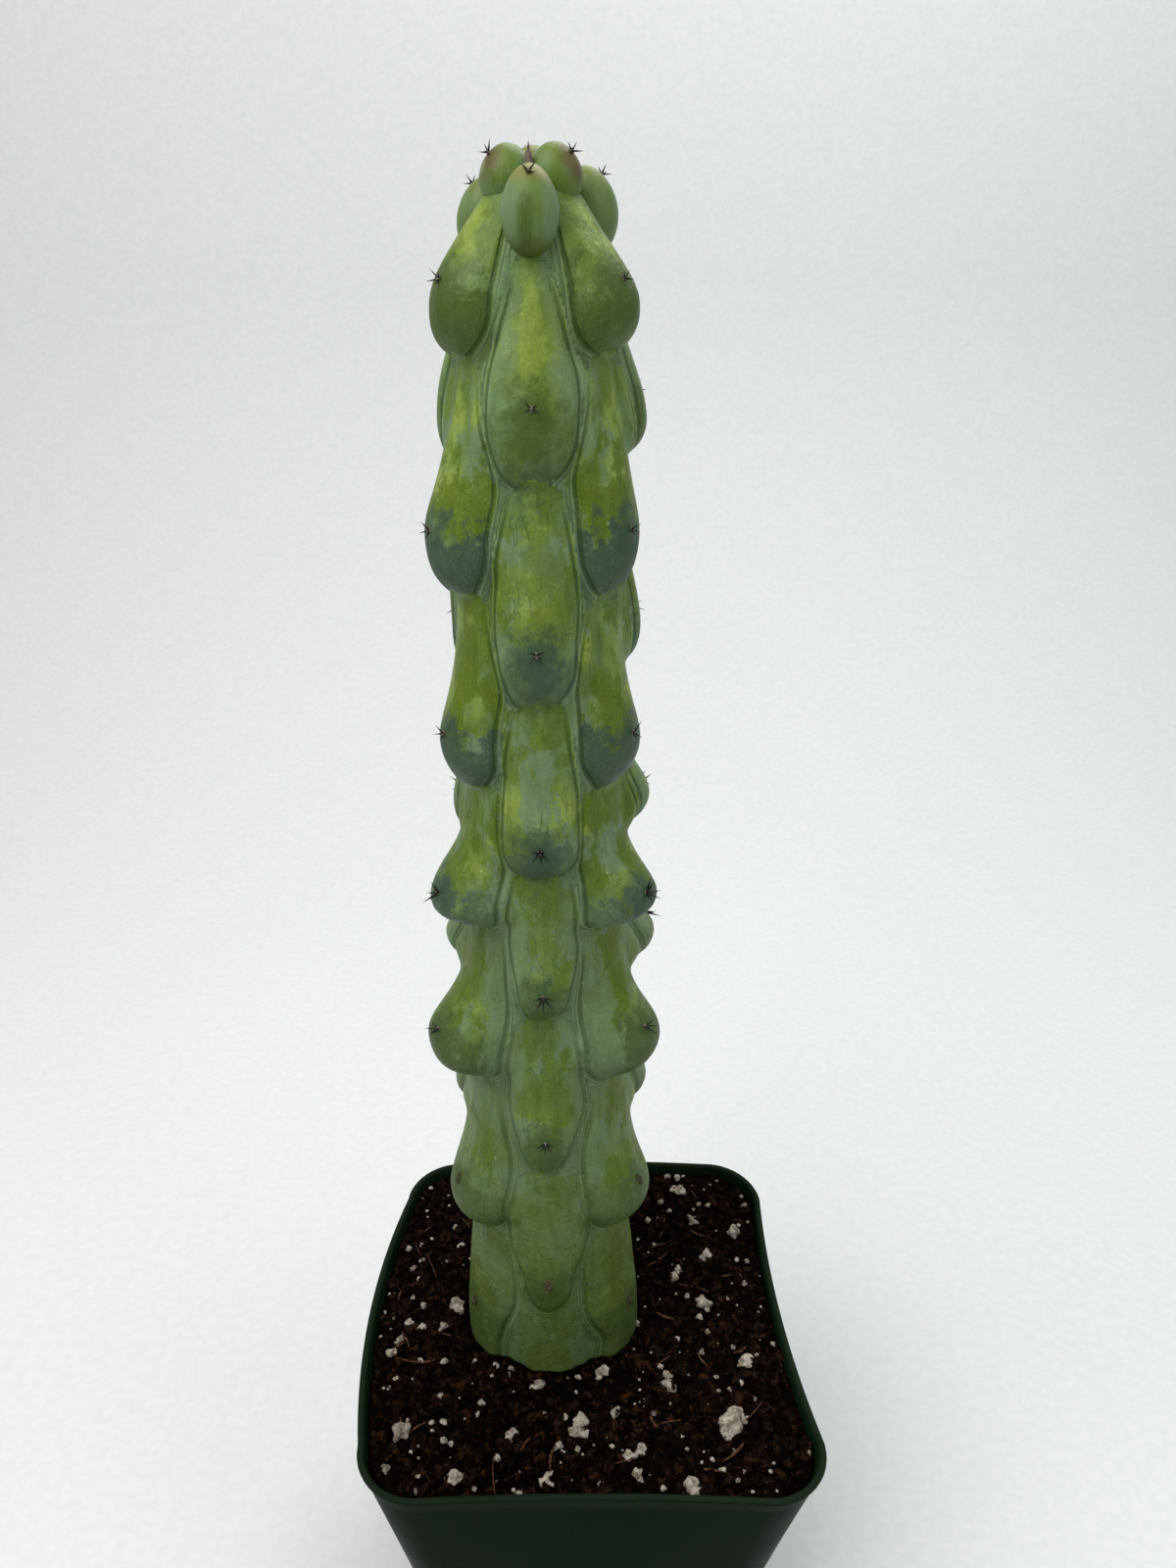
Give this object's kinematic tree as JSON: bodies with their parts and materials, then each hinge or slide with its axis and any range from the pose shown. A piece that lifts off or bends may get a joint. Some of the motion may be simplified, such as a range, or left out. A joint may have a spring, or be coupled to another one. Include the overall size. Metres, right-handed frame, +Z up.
{
  "type": "potted boobie cactus",
  "caption": "Columnar cactus with swollen, rounded bosses on its ribs, growing in soil in a square plastic nursery pot.",
  "frame": {"origin": "centre of the pot's base, on the surface it stands on", "axes": "+Z up along the stem, -Y towards the front of the pot, +X to its right"},
  "size_m": [0.107, 0.101, 0.3452],
  "materials": {
    "pot": "dark green satin polypropylene with a lighter rim",
    "soil": "dark brown peat and bark potting mix with white perlite grains",
    "cactus": "waxy yellow-green skin with blue-green bloom, black-brown spines on grey wool"
  },
  "bodies": {
    "root": {"pot": "pot", "soil": "soil", "cactus": "cactus"}
  },
  "joints": []
}
